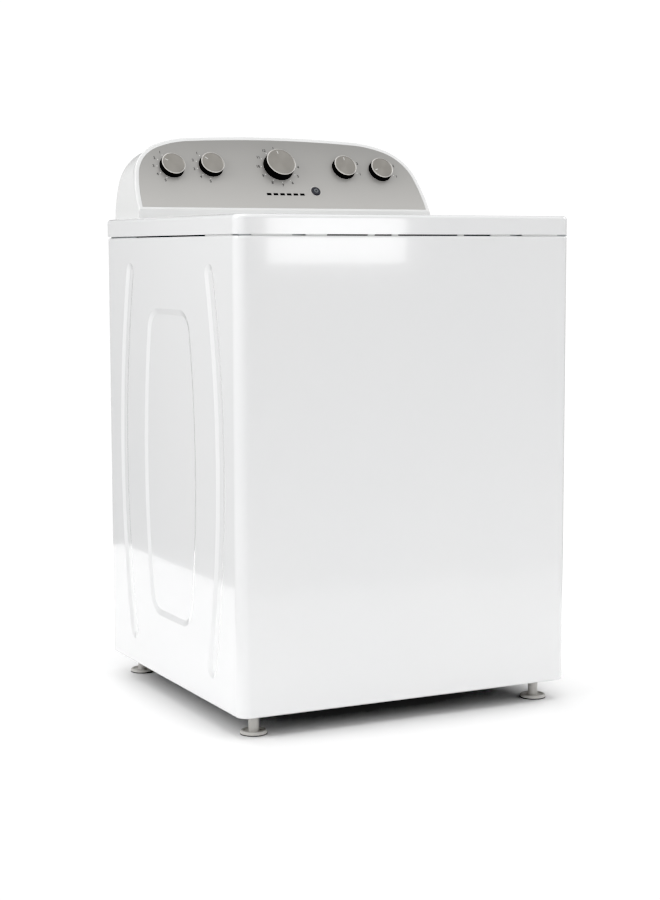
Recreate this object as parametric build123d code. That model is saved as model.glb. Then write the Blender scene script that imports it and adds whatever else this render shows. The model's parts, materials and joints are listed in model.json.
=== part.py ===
from build123d import *
import os
from math import cos, pi, radians, sin, sqrt

# Top-loading washing machine with an agitator, a sprung tub and a leaning control console.
# Millimetres. +Z is up, -Y is the front, and the origin is on the floor below the cabinet's middle.

# Cabinet
cabinet_width = 699.0
cabinet_depth = 660.0
cabinet_height = 866.0
foot_height = 40.0            # floor to the cabinet's lower edge
sheet = 1.0                   # painted steel
corner_radius = 22.0          # the two front corners
fold_radius = 4.0             # folded lower and upper edges
flange_width = 18.0           # inward flanges of the cabinet shell
cut_past = 6.0                # how far a cut runs past the face it opens

# Pressings on both sides: two curved beads and a barrel between them
pressing_depth = 3.0
pressing_flank_angle = 75.0   # from the pressing direction
bead_width = 40.0
bead_half_length = 363.0
bead_mid_reach = 247.0
bead_end_reach = 202.0
barrel_drop = 7.0             # barrel's middle below the cabinet's middle
barrel_half_height = 303.0
barrel_mid_reach = 132.0
barrel_end_reach = 100.0
barrel_corner = 50.0

# Rear panel
rear_inset = 3.0              # top's rear edge to the rear panel
rear_margin = 7.0
rear_bead_count = 4
rear_bead_length = 470.0
rear_bead_width = 30.0
rear_bead_depth = 4.0
rear_bead_flank_angle = 55.0
rear_bead_low = 230.0         # cabinet's lower edge to the lowest bead
rear_bead_pitch = 165.0
drain_hole_radius = 30.0
drain_hole_inset = 119.5
drain_hole_height = 120.0

# Base rails and levelling feet
rail_width = 80.0
rail_depth = 26.0
rail_sheet = 2.0
foot_inset_x = 46.5
foot_inset_y = 47.0
foot_disc_radius = 25.0
foot_disc_height = 7.0
foot_disc_edge = 2.0
foot_rim_width = 4.5
foot_dish = 2.5
foot_play = 0.3
foot_stem_radius = 9.5
foot_stem_length = 84.0
nut_across = 30.0
nut_height = 12.0

# Corner braces, which carry the suspension rods and hold the top clear of the cabinet
brace_thickness = 2.4
brace_along_front = 172.0
brace_along_side = 145.0
brace_tip = 24.0
brace_margin = 6.0
brace_lip = 12.0
brace_slot_inset = 109.5      # cabinet's side to the slot in the brace's edge
brace_slot_width = 25.0
brace_slot_depth = 10.0

# Top panel
top_height = 35.4
top_edge_radius = 7.0
top_flange = 14.0
lid_recess_depth = 24.0
mouth_side_margin = 60.0      # lid's side to the mouth
mouth_depth = 390.0
mouth_corner = 95.0
mouth_front_margin = 69.0     # cabinet's front to the mouth
mouth_flange = 26.0
finger_bay_width = 130.0
finger_bay_depth = 14.0
finger_bay_corner = 12.6

# Lid
lid_side_margin = 69.5        # cabinet's side to the lid
lid_front_margin = 31.0
lid_depth = 452.0
lid_thickness = 16.0
lid_corner = 24.0
lid_rear_corner = 4.0
lid_edge_radius = 4.0
lid_gap = 3.0
lid_rear_gap = 12.0
liner_margin = 20.0           # lid's edge to the liner's pressed tray
liner_rear_margin = 40.0
liner_rise = 8.0
hinge_inset = 8.0             # lid's rear edge to the hinge axis
hinge_drop = 8.0              # lid's upper face to the hinge axis
hinge_pin_radius = 4.0
hinge_boss_radius = 6.0
hinge_boss_length = 24.0
hinge_bush_radius = 5.5
hinge_bush_length = 14.0
hinge_bush_flange = 1.2
bumper_radius = 6.0
bumper_edge = 2.0
strike_width = 22.0
strike_thickness = 4.0
strike_reach = 22.0
strike_inset = 30.0           # lid's side to the strike
strike_from_front = 149.0     # lid's front edge to the strike
lock_width = 50.0
lock_length = 76.0
lock_height = 26.0
lock_corner = 5.0
slot_play = 3.0
bleach_width = 46.0
bleach_length = 96.0
bleach_depth = 28.0
bleach_wall = 2.0
bleach_corner = 15.3
bleach_outlet_radius = 7.7
bleach_outlet_shift = 24.0

# Console
console_lean_angle = 32.5     # fascia's angle from upright
console_fall_angle = 8.0      # slope of the console's top towards the rear
fascia_foot_inset = 141.4     # cabinet's rear to the fascia's lower edge
fascia_foot_height = 24.0     # fascia's lower edge above the top panel
fascia_side_margin = 24.2     # cabinet's side to the fascia
side_radius = 360.0
side_sweep_angle = 13.1
shoulder_radius = 93.0
shoulder_sweep_angle = 53.6
haunch_radius = 220.0
haunch_sweep_angle = 19.1
fascia_thickness = 3.0
fascia_play = 0.3
fascia_ledge = 8.0
console_rim = 9.0
bezel_depth = 12.0            # fascia's plane back to the step behind the bezel
bezel_step = 2.0              # bezel standing proud of the body
console_toe = 3.0             # fascia's lower edge back to the console's upright front
console_wall = 2.5
console_below = 96.0          # arched section carried down, before it is cut level
console_front_radius = 3.0
console_rear_radius = 2.0
rear_cover_inset = 5.0

# Knobs and switches: position across the fascia and up it
outer_knob_inset = 84.3       # fascia's side to the outer knobs
outer_knob_rise = 98.3
knob_pitch = 87.5
inner_knob_rise = 102.2
dial_rise = 103.4
knob_radius = 26.5
knob_height = 14.0
dial_radius = 33.5
dial_height = 20.0
knob_lift = 1.0               # gap between a knob and the fascia
knob_taper = 1.5
cap_inset = 1.6
cap_thickness = 3.0
cap_edge = 1.2
cap_bevel = 2.6
cap_dish = 0.4
grip_depth = 3.5              # hollow under a knob
spindle_radius = 4.0
spindle_reach = 12.0
spindle_hole_radius = 6.0
switch_radius = 15.0
switch_depth = 20.0
terminal_width = 15.0
terminal_height = 10.0
button_x = 72.0
button_rise = 43.0
button_radius = 10.5
button_lift = 2.5
button_travel = 2.0
button_play = 0.4
button_flange = 3.0
light_width = 9.0
light_height = 4.0
light_pitch = 15.3
light_rise = 34.3
light_count = 6
board_inset = 57.3
board_low = 16.0
board_high = 124.0
board_thickness = 1.6

# Inlet valve and cord gland behind the console
port_radius = 13.3
port_bore = 9.0
port_length = 20.0
port_pitch = 56.0
port_inset = 114.5            # cabinet's side to the middle of the ports
port_height = 40.0
valve_depth = 34.0
valve_corner = 6.6
coil_radius = 14.0
coil_length = 34.0
coil_drop = 7.0
valve_window_margin = 12.0
gland_inset = 81.5
gland_height = 36.0
gland_radius = 11.0
gland_bore = 6.0
gland_flange = 4.0

# Suspension
rod_inset_x = 53.5
rod_inset_y = 75.0
rod_radius = 4.0
rod_length = 566.0
ball_radius = 9.0
seat_radius = 24.0
seat_thickness = 5.0
ear_height = 62.0             # ear's underside above the tub's floor
ear_thickness = 14.0
ear_boss_radius = 26.0
ear_root_radius = 46.0
ear_hole_radius = 12.0
cup_radius = 23.0
cup_wall = 2.5
cup_depth = 15.0
cup_neck_radius = 11.5
rod_play = 0.5
spring_radius = 17.0
spring_wire_radius = 2.6
spring_turns = 5
spring_play = 0.4

# Tub, basket and agitator
tub_drop = 52.0               # cabinet's upper edge to the tub's rim
tub_clearance = 51.0          # cabinet's rear to the tub's wall
tub_wall = 3.0
tub_depth = 455.0
tub_corner = 32.0
tub_flange = 8.0
tub_hub_bore = 32.0
tub_boss_radius = 115.0
tub_boss_height = 18.0
tub_rib_thickness = 4.0
tub_rib_count = 12
tub_rib_inset = 29.0          # tub's wall to the ribs' ends
tub_ring_height = 14.0
tub_ring_width = 41.0
tub_ring_wall = 3.0
seal_flange = 6.0
seal_gap = 6.0
seal_lip = 3.0
basket_gap = 17.0             # tub's wall to the basket's wall, outside to outside
basket_sheet = 1.0
basket_lift = 22.0            # tub's inner floor to the basket's lower edge
balance_ring_height = 38.0
balance_ring_width = 36.0
balance_ring_edge = 7.0
balance_ring_drop = 6.0       # tub's rim to the balance ring's top
base_wall = 4.0
base_rim = 32.0
base_hub_radius = 60.0
base_hub_rise = 20.0
base_cone_radius = 120.0
spin_tube_radius = 20.0
hub_nut_radius = 31.0
hub_nut_height = 10.0
hub_nut_notches = 6
shaft_radius = 10.0
running_play = 0.05
agitator_gap = 6.0            # basket floor to the agitator's skirt
skirt_radius = 155.0
skirt_rim = 10.0
column_radius = 56.0
column_height = 215.0         # skirt's lower edge to the top of the agitator base
skirt_bend_out = 23.0         # column to the middle of the skirt's curve
skirt_bend_rise = 31.0
skirt_rise = 138.0
agitator_wall = 3.5
vane_count = 4
vane_thickness = 9.0
vane_reach = 143.0
vane_shoulder = 64.0
vane_drop = 16.0
vane_waist_rise = 107.0
socket_length = 104.0
socket_wall = 7.0
auger_height = 140.0
auger_radius = 104.0
auger_tip_radius = 76.0
auger_starts = 2
auger_sector_angle = 24.0
auger_twist_angle = -250.0
auger_margin = 6.0
auger_straight = 32.0
auger_wall = 10.5
cap_dome = 14.0
cap_round = 10.0

# Drive under the tub
plate_thickness = 4.0
gearcase_radius = 74.0
gearcase_foot_radius = 56.0
gearcase_height = 150.0
gearcase_shoulder = 50.0
gearcase_rib_count = 8
gearcase_rib_thickness = 5.0
gearcase_rib_reach = 10.0
bearing_radius = 34.0
bearing_height = 15.0
bearing_span = 62.0
pulley_gap = 18.0             # gearcase to the drive pulley
pulley_radius = 86.0
pulley_height = 20.0
pulley_web = 6.0
pulley_rim = 8.0
pulley_hub_radius = 18.0
pulley_shaft_radius = 8.0
pulley_shaft_reach = 28.0
pulley_groove = 3.0
pulley_windows = 6
pulley_window_radius = 15.0
motor_x = 150.0
motor_y = -118.0
motor_radius = 60.0
motor_height = 118.0
motor_plate_radius = 68.0
motor_pulley_radius = 19.0
motor_shaft_radius = 6.0
motor_shaft_reach = 30.0
motor_bell = 12.0
motor_edge = 4.0
belt_thickness = 4.0
belt_height = 12.0
belt_play = 0.3
pump_x = -168.0
pump_y = 72.0
pump_neck_radius = 18.0
pump_neck_length = 18.0
pump_volute_radius = 46.0
pump_volute_height = 40.0
pump_volute_edge = 6.6
pump_motor_radius = 32.0
pump_motor_height = 62.0
pump_spout_radius = 13.0
pump_spout_bore = 10.0
pump_spout_length = 74.0
pump_spout_depth = 37.0
sump_radius = 30.0
sump_bore = 14.0
actuator_width = 50.0
actuator_depth = 44.0
actuator_height = 46.0
actuator_corner = 4.4

# Places worked out from those sizes
quarter_turn = 90.0
half_width = cabinet_width / 2
half_depth = cabinet_depth / 2
shell_rear = half_depth - rear_inset - sheet
foot_x = half_width - foot_inset_x
foot_y = half_depth - foot_inset_y
rod_x = half_width - rod_inset_x
rod_y = half_depth - rod_inset_y
drain_hole_x = half_width - drain_hole_inset
cabinet_top = foot_height + cabinet_height
cabinet_middle = foot_height + cabinet_height / 2
top_under = cabinet_top + brace_thickness
top_face = top_under + top_height
recess_floor = top_face - lid_recess_depth
mouth_centre_y = mouth_front_margin + mouth_depth / 2 - half_depth
lid_width = cabinet_width - 2 * lid_side_margin
mouth_width = lid_width - 2 * mouth_side_margin
lid_front = lid_front_margin - half_depth
lid_under = top_face - lid_thickness
lid_centre_y = lid_front + lid_depth / 2
hinge_y = lid_front + lid_depth - hinge_inset
hinge_z = top_face - hinge_drop
recess_half_width = lid_width / 2 + lid_gap
strike_x = lid_width / 2 - strike_inset
strike_y = lid_front + strike_from_front
tub_radius = half_depth - tub_clearance
basket_radius = tub_radius - basket_gap
tub_rim = cabinet_top - tub_drop
tub_floor = tub_rim - tub_depth
ear_under = tub_floor + ear_height
basket_low = tub_floor + tub_wall + basket_lift
balance_ring_top = tub_rim - balance_ring_drop
basket_high = balance_ring_top - balance_ring_height
basket_floor = basket_low + base_wall
hub_top = basket_floor + base_hub_rise
spin_tube_top = hub_top + hub_nut_height
skirt_low = basket_floor + agitator_gap
column_top = skirt_low + column_height
auger_top = column_top + auger_height
boss_under = tub_floor - tub_boss_height
plate_under = boss_under - plate_thickness
gearcase_under = plate_under - gearcase_height
pulley_top = gearcase_under - pulley_gap
pulley_low = pulley_top - pulley_height
motor_low = plate_under - motor_height
spin_tube_low = plate_under - bearing_span - bearing_height
rod_top = top_under
rod_low = rod_top - rod_length
spring_low = rod_low + seat_thickness
spring_high = ear_under - cup_wall
fascia_foot_y = half_depth - fascia_foot_inset
fascia_half_width = half_width - fascia_side_margin
outer_knob_x = fascia_half_width - outer_knob_inset
inner_knob_x = outer_knob_x - knob_pitch
board_half_width = fascia_half_width - board_inset
port_x = port_inset - half_width
gland_x = half_width - gland_inset
console_face = Plane(
    origin=(0, fascia_foot_y, top_face + fascia_foot_height),
    x_dir=(1, 0, 0),
    z_dir=(0, -cos(radians(console_lean_angle)), sin(radians(console_lean_angle))),
)
console_front_wall = fascia_thickness + console_wall
console_body_rim = console_rim - bezel_step
rear_cover_y = half_depth - rear_cover_inset
small_knobs = {
    "left_outer": (-outer_knob_x, outer_knob_rise),
    "left_inner": (-inner_knob_x, inner_knob_rise),
    "right_inner": (inner_knob_x, inner_knob_rise),
    "right_outer": (outer_knob_x, outer_knob_rise),
}
feet = {
    "front_left": (-foot_x, -foot_y),
    "front_right": (foot_x, -foot_y),
    "rear_left": (-foot_x, foot_y),
    "rear_right": (foot_x, foot_y),
}
corner_signs = [(-1, -1), (1, -1), (-1, 1), (1, 1)]
on_base = (Align.CENTER, Align.CENTER, Align.MIN)


# Shared shapes

def drum(radius, low, high):
    return Pos(0, 0, low) * Cylinder(radius, high - low, align=on_base)


def ring(outer, inner, low, high):
    return drum(outer, low, high) - drum(inner, low - cut_past, high + cut_past)


def cutter(radius):
    return Cylinder(radius, 2 * cut_past)


def block(x_span, y_span, z_span):
    size = [high - low for low, high in (x_span, y_span, z_span)]
    middle = [(high + low) / 2 for low, high in (x_span, y_span, z_span)]
    return Pos(*middle) * Box(*size)


def turned(points):
    return revolve(Plane.XZ * make_face(Polyline(points, close=True)), Axis.Z)


def along_y(shape, x, y, z):
    return Pos(x, y, z) * Rot(-quarter_turn, 0, 0) * shape


def along_x(shape, x, y, z):
    return Pos(x, y, z) * Rot(0, quarter_turn, 0) * shape


def on_fascia(x, rise, depth=0.0):
    return console_face * Pos(x, rise, -depth)


# Cabinet

def cabinet_plan(inset, rear):
    front = inset - half_depth
    plan = Pos(0, (front + rear) / 2) * Rectangle(cabinet_width - 2 * inset, rear - front)
    front_corners = plan.vertices().group_by(Axis.Y)[0]
    return fillet(front_corners, max(corner_radius - inset, sheet))


def folded_block(inset, rear, low, high, lower_fold, upper_fold):
    solid = Pos(0, 0, low) * extrude(cabinet_plan(inset, rear), high - low)
    for level, radius in ((0, lower_fold), (-1, upper_fold)):
        if radius > 0:
            level_edges = solid.faces().sort_by(Axis.Z)[level].edges()
            solid = fillet([edge for edge in level_edges if edge.center().Y < rear - sheet], radius)
    return solid


def side_pressings(grow, depth):
    side = Plane(origin=(-half_width, 0, cabinet_middle), x_dir=(0, 1, 0), z_dir=(1, 0, 0))
    bead_line = ThreePointArc(
        (bead_end_reach, bead_half_length), (bead_mid_reach, 0), (bead_end_reach, -bead_half_length)
    )
    bead = SlotArc(bead_line, bead_width + 2 * grow)
    bulge = ThreePointArc(
        (barrel_end_reach, -barrel_half_height),
        (barrel_mid_reach, 0),
        (barrel_end_reach, barrel_half_height),
    )
    ends = [
        Line((side_sign * barrel_end_reach, level), (-side_sign * barrel_end_reach, level))
        for side_sign, level in ((1, barrel_half_height), (-1, -barrel_half_height))
    ]
    barrel = make_face([bulge, ends[0], mirror(bulge, Plane.YZ), ends[1]])
    barrel = Pos(0, -barrel_drop) * fillet(barrel.vertices(), barrel_corner)
    barrel = offset(barrel, grow) if grow > 0 else barrel
    tools = [
        extrude(side * face, depth, taper=pressing_flank_angle)
        for face in (bead, mirror(bead, Plane.YZ), barrel)
    ]
    return tools + [mirror(tool, Plane.YZ) for tool in tools]


def cabinet_shell():
    rear = shell_rear
    outer = folded_block(0, rear, foot_height, cabinet_top, fold_radius, fold_radius)
    inner_fold = fold_radius - sheet
    inner = folded_block(
        sheet, rear - sheet, foot_height + sheet, cabinet_top - sheet, inner_fold, inner_fold
    )
    opening = Pos(0, 0, foot_height) * extrude(cabinet_plan(flange_width, half_depth), cabinet_height)
    shell = outer - inner - opening
    shell += side_pressings(sheet, pressing_depth + sheet)
    return shell - side_pressings(0, pressing_depth)


def rear_beads(grow, depth):
    back = Plane(
        origin=(0, shell_rear + sheet, foot_height + rear_bead_low), x_dir=(1, 0, 0), z_dir=(0, -1, 0)
    )
    bead = SlotOverall(rear_bead_length + 2 * grow, rear_bead_width + 2 * grow)
    levels = [index * rear_bead_pitch for index in range(rear_bead_count)]
    return [extrude(back * Pos(0, level) * bead, depth, taper=rear_bead_flank_angle) for level in levels]


def rear_panel():
    panel = block(
        (rear_margin - half_width, half_width - rear_margin),
        (shell_rear, shell_rear + sheet),
        (foot_height + rear_margin, cabinet_top),
    )
    panel += rear_beads(sheet, rear_bead_depth + sheet)
    panel -= rear_beads(0, rear_bead_depth)
    drain_z = foot_height + drain_hole_height
    return panel - along_y(cutter(drain_hole_radius), drain_hole_x, shell_rear, drain_z)


def base_rails():
    floor = foot_height + sheet
    half_length = half_width - sheet - fold_radius
    outer_edge = shell_rear - sheet - fold_radius
    inner_edge = outer_edge - rail_width
    rail = block((-half_length, half_length), (inner_edge, outer_edge), (floor, floor + rail_depth))
    rail &= mirror(Pos(0, 0, floor) * extrude(cabinet_plan(sheet + fold_radius, 0), rail_depth), Plane.XZ)
    rail -= block(
        (-half_width, half_width),
        (inner_edge + rail_sheet, outer_edge - rail_sheet),
        (floor + rail_sheet, floor + rail_depth + cut_past),
    )
    for x in (-foot_x, foot_x):
        rail -= Pos(x, foot_y, floor) * cutter(foot_stem_radius + foot_play)
    return [rail, mirror(rail, Plane.XZ)]


def foot_nuts():
    low = foot_height + sheet + rail_sheet
    nut = extrude(RegularPolygon(nut_across / 2, 6, major_radius=False), nut_height)
    nut -= drum(foot_stem_radius + running_play, -cut_past, nut_height + cut_past)
    return [Pos(x, y, low) * nut for x, y in feet.values()]


def levelling_foot(x, y):
    rim_inner = foot_disc_radius - foot_rim_width
    return Pos(x, y) * turned([
        (0, 0),
        (foot_disc_radius, 0),
        (foot_disc_radius, foot_disc_height - foot_disc_edge),
        (foot_disc_radius - foot_disc_edge, foot_disc_height),
        (rim_inner, foot_disc_height),
        (rim_inner - foot_dish, foot_disc_height - foot_dish),
        (foot_stem_radius, foot_disc_height - foot_dish),
        (foot_stem_radius, foot_stem_length),
        (0, foot_stem_length),
    ])


def corner_braces():
    corner_x = half_width - brace_margin
    corner_y = half_depth - brace_margin
    outline = Polyline(
        (corner_x, corner_y),
        (corner_x - brace_along_front, corner_y),
        (corner_x - brace_along_front, corner_y - brace_tip),
        (corner_x - brace_tip, corner_y - brace_along_side),
        (corner_x, corner_y - brace_along_side),
        close=True,
    )
    plate = make_face(outline)
    brace = extrude(plate, brace_thickness)
    lip_line = offset(plate, -brace_thickness)
    inside = block(
        (corner_x - brace_along_front, corner_x - brace_tip),
        (corner_y - brace_along_side, corner_y - brace_tip),
        (-brace_lip, 0),
    )
    brace += (extrude(plate, -brace_lip) - extrude(lip_line, -brace_lip)) & inside
    brace -= Pos(rod_x, rod_y) * cutter(rod_radius + rod_play)
    slot_end = half_width - brace_slot_inset
    brace -= block(
        (slot_end - brace_slot_width, slot_end),
        (corner_y - brace_slot_depth, corner_y),
        (0, brace_thickness),
    )
    brace = Pos(0, 0, cabinet_top) * brace
    mirrored = mirror(brace, Plane.XZ)
    return [brace, mirrored, mirror(brace, Plane.YZ), mirror(mirrored, Plane.YZ)]


# Top panel and lid

def lid_plan(grow, rear_grow):
    depth = lid_depth + grow + rear_grow
    plan = Pos(0, lid_front - grow + depth / 2) * Rectangle(lid_width + 2 * grow, depth)
    plan = fillet(plan.vertices().group_by(Axis.Y)[0], max(lid_corner + grow, sheet))
    return fillet(plan.vertices().group_by(Axis.Y)[-1], max(lid_rear_corner + grow, sheet))


def recess_plan(grow):
    bay = RectangleRounded(finger_bay_width, 4 * finger_bay_depth, finger_bay_corner)
    bay = Pos(0, lid_front - lid_gap + finger_bay_depth) * bay
    plan = lid_plan(lid_gap, lid_rear_gap) + bay
    return offset(plan, grow) if grow > 0 else plan


def mouth_plan(grow):
    plan = RectangleRounded(mouth_width + 2 * grow, mouth_depth + 2 * grow, mouth_corner + grow)
    return Pos(0, mouth_centre_y) * plan


def bleach_plan(grow):
    plan = RectangleRounded(bleach_width + 2 * grow, bleach_length + 2 * grow, bleach_corner + grow)
    return Pos(-strike_x, strike_y) * plan


def top_panel():
    rear = half_depth
    panel = folded_block(0, rear, top_under, top_face, 0, top_edge_radius)
    panel -= folded_block(
        sheet, rear - sheet, top_under + sheet, top_face - sheet, 0, top_edge_radius - sheet
    )
    panel -= Pos(0, 0, top_under) * extrude(cabinet_plan(top_flange, rear - top_flange), sheet)
    recess_low = recess_floor - sheet
    panel += Pos(0, 0, recess_low) * extrude(recess_plan(sheet), top_face - sheet - recess_low)
    panel -= Pos(0, 0, recess_floor) * extrude(recess_plan(0), lid_recess_depth + sheet)
    flange_low = recess_floor - mouth_flange
    panel += Pos(0, 0, flange_low) * extrude(mouth_plan(sheet), mouth_flange)
    panel -= Pos(0, 0, flange_low) * extrude(mouth_plan(0), mouth_flange + sheet)
    panel -= Pos(0, 0, recess_low) * extrude(bleach_plan(0), 2 * sheet)
    panel -= strike_slot(recess_low, recess_floor + sheet)
    for side in (-1, 1):
        panel -= along_x(cutter(hinge_bush_radius), side * recess_half_width, hinge_y, hinge_z)
    return panel


def strike_slot(low, high):
    return block(
        (strike_x - strike_width / 2 - slot_play, strike_x + strike_width / 2 + slot_play),
        (strike_y - strike_thickness / 2 - slot_play, strike_y + strike_thickness / 2 + slot_play),
        (low, high),
    )


def lid_skin():
    skin = Pos(0, 0, lid_under) * extrude(lid_plan(0, 0), lid_thickness)
    skin = fillet(skin.faces().sort_by(Axis.Z)[-1].edges(), lid_edge_radius)
    hollow = Pos(0, 0, lid_under) * extrude(lid_plan(-sheet, -sheet), lid_thickness - sheet)
    skin -= fillet(hollow.faces().sort_by(Axis.Z)[-1].edges(), lid_edge_radius - sheet)
    for side in (-1, 1):
        skin -= along_x(cutter(hinge_pin_radius), side * lid_width / 2, hinge_y, hinge_z)
    return skin


def lid_liner():
    liner = Pos(0, 0, lid_under) * extrude(lid_plan(-sheet, -sheet), sheet)
    tray = lid_plan(-liner_margin, -liner_rear_margin)
    liner += Pos(0, 0, lid_under) * extrude(offset(tray, sheet), liner_rise)
    return liner - Pos(0, 0, lid_under) * extrude(tray, liner_rise - sheet)


def lid_strike():
    return block(
        (strike_x - strike_width / 2, strike_x + strike_width / 2),
        (strike_y - strike_thickness / 2, strike_y + strike_thickness / 2),
        (lid_under - strike_reach, lid_under),
    )


def hinge_pins():
    boss_end = lid_width / 2 - lid_edge_radius
    pin_end = recess_half_width + hinge_bush_length - sheet
    pin = turned([
        (0, boss_end - hinge_boss_length),
        (hinge_boss_radius, boss_end - hinge_boss_length),
        (hinge_boss_radius, boss_end),
        (hinge_pin_radius, boss_end),
        (hinge_pin_radius, pin_end),
        (0, pin_end),
    ])
    right = along_x(pin, 0, hinge_y, hinge_z)
    return [right, mirror(right, Plane.YZ)]


def hinge_bushes():
    wall_out = recess_half_width + sheet
    bush = ring(
        hinge_bush_radius,
        hinge_pin_radius + running_play,
        recess_half_width,
        recess_half_width + hinge_bush_length,
    )
    bush += ring(
        hinge_bush_radius + hinge_bush_flange,
        hinge_pin_radius + running_play,
        wall_out,
        wall_out + hinge_bush_flange,
    )
    right = along_x(bush, 0, hinge_y, hinge_z)
    return [right, mirror(right, Plane.YZ)]


def lid_bumpers():
    bumper = drum(bumper_radius, recess_floor, lid_under)
    bumper = fillet(bumper.edges().group_by(Axis.Z)[-1], bumper_edge)
    bumper_x = lid_width / 2 - lid_corner
    bumper_y = lid_front + lid_corner
    return [Pos(x, bumper_y) * bumper for x in (-bumper_x, bumper_x)]


def lid_lock():
    high = recess_floor - sheet
    low = high - lock_height
    lock = block(
        (strike_x - lock_width / 2, strike_x + lock_width / 2),
        (strike_y - lock_length / 2, strike_y + lock_length / 2),
        (low, high),
    )
    lock = fillet(lock.edges().filter_by(Axis.Z), lock_corner)
    return lock - strike_slot(low + sheet, high)


def bleach_dispenser():
    low = recess_floor - bleach_depth
    cup = Pos(0, 0, low) * extrude(bleach_plan(0), bleach_depth)
    cup += Pos(0, 0, recess_floor) * extrude(bleach_plan(bleach_wall), bleach_wall)
    cup -= Pos(0, 0, low + bleach_wall) * extrude(bleach_plan(-bleach_wall), bleach_depth)
    return cup - Pos(-strike_x, strike_y + bleach_outlet_shift, low) * cutter(bleach_outlet_radius)


# Console

def fascia_outline(grow):
    side = JernArc((fascia_half_width, 0), (0, 1), side_radius, side_sweep_angle)
    shoulder = JernArc(side @ 1, side % 1, shoulder_radius, shoulder_sweep_angle)
    haunch = JernArc(shoulder @ 1, shoulder % 1, haunch_radius, haunch_sweep_angle)
    crown_half = quarter_turn - side_sweep_angle - shoulder_sweep_angle - haunch_sweep_angle
    crown_radius = (haunch @ 1).X / sin(radians(crown_half))
    crown = JernArc(haunch @ 1, haunch % 1, crown_radius, 2 * crown_half)
    right = [side, shoulder, haunch]
    left = [mirror(arc, Plane.YZ) for arc in right]
    foot = Line((-fascia_half_width, 0), (fascia_half_width, 0))
    face = make_face([*right, crown, *left, foot])
    return offset(face, grow) if grow != 0 else face


def console_section(grow):
    # The fascia's outline, carried down past the console's foot.
    foot = Rectangle(2 * (fascia_half_width + grow), console_below)
    return fascia_outline(grow) + Pos(0, -console_below / 2) * foot


def console_prism(grow, depth):
    # The section carried back along the console's falling top.
    back = (0, cos(radians(console_fall_angle)), -sin(radians(console_fall_angle)))
    return extrude(console_face * Pos(0, 0, -depth) * console_section(grow), half_depth, dir=back)


def console_space(front, rear):
    reach = fascia_half_width + 2 * console_rim
    return block((-reach, reach), (front, rear), (top_face, top_face + reach))


def console_housing():
    front = fascia_foot_y - console_toe
    space = console_space(front, half_depth)
    bezel = extrude(console_face * console_section(console_rim), -bezel_depth) & space
    face_edges = [
        edge for edge in bezel.edges()
        if abs(console_face.to_local_coords(edge.center()).Z) < sheet / 10
        and console_face.to_local_coords(edge.center()).Y > 0
    ]
    bezel = fillet(face_edges, console_front_radius)
    body = console_prism(console_body_rim, bezel_depth / 2) & space
    rear_edges = [
        edge for edge in body.edges().filter_by_position(Axis.Y, half_depth - sheet, half_depth + sheet)
        if edge.center().Z > top_face + sheet
    ]
    body = fillet(rear_edges, console_rear_radius) + bezel
    cavity = console_prism(console_body_rim - console_wall, console_front_wall)
    body -= cavity & console_space(front + console_wall, cabinet_depth)
    body -= extrude(console_face * fascia_outline(fascia_play), -fascia_thickness)
    body -= extrude(console_face * fascia_outline(-fascia_ledge), -console_front_wall - cut_past)
    return body


def console_rear_cover():
    cover = console_prism(console_body_rim - console_wall - fascia_play, console_front_wall)
    cover &= console_space(rear_cover_y - sheet, rear_cover_y)
    window_half = port_pitch / 2 + port_radius + valve_window_margin
    cover -= block(
        (port_x - window_half, port_x + window_half),
        (rear_cover_y - 2 * sheet, rear_cover_y + sheet),
        (top_face, top_face + port_height + port_radius + valve_window_margin),
    )
    return cover - along_y(cutter(gland_radius), gland_x, rear_cover_y, top_face + gland_height)


def fascia():
    plate = extrude(console_face * fascia_outline(0), -fascia_thickness)
    for x, rise in [*small_knobs.values(), (0, dial_rise)]:
        plate -= on_fascia(x, rise) * cutter(spindle_hole_radius)
    plate -= on_fascia(button_x, button_rise) * cutter(button_radius + button_play)
    for x in light_places():
        plate -= on_fascia(x, light_rise) * Box(light_width, light_height, 2 * cut_past)
    return plate


def light_places():
    return [(index - (light_count - 1) / 2) * light_pitch for index in range(light_count)]


def status_lights():
    lens = Pos(0, 0, -fascia_thickness / 2) * Box(light_width, light_height, fascia_thickness)
    return [on_fascia(x, light_rise) * lens for x in light_places()]


def knob_solids(radius, height):
    skirt = turned([
        (radius - grip_depth, knob_lift),
        (radius, knob_lift),
        (radius - knob_taper, height - cap_thickness),
        (0, height - cap_thickness),
        (0, -spindle_reach - fascia_thickness),
        (spindle_radius, -spindle_reach - fascia_thickness),
        (spindle_radius, knob_lift + grip_depth),
        (radius - grip_depth, knob_lift + grip_depth),
    ])
    cap_radius = radius - cap_inset
    face_radius = cap_radius - cap_bevel
    cap = turned([
        (0, height - cap_thickness),
        (cap_radius, height - cap_thickness),
        (cap_radius, height - cap_edge),
        (face_radius, height),
        (face_radius - cap_dish, height - cap_dish),
        (0, height - cap_dish),
    ])
    return skirt, cap


def rotary_switches():
    body = drum(switch_radius, -fascia_thickness - switch_depth, -fascia_thickness)
    body -= drum(spindle_radius + running_play, -fascia_thickness - spindle_reach - sheet, 0)
    terminal = Pos(0, -switch_radius, terminal_height / 2 - fascia_thickness - switch_depth)
    body += terminal * Box(terminal_width, terminal_width, terminal_height)
    return [on_fascia(x, rise) * body for x, rise in [*small_knobs.values(), (0, dial_rise)]]


def control_board():
    depth = fascia_thickness + switch_depth
    board = Pos(0, (board_low + board_high) / 2, -depth - board_thickness / 2)
    return console_face * board * Box(2 * board_half_width, board_high - board_low, board_thickness)


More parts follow.
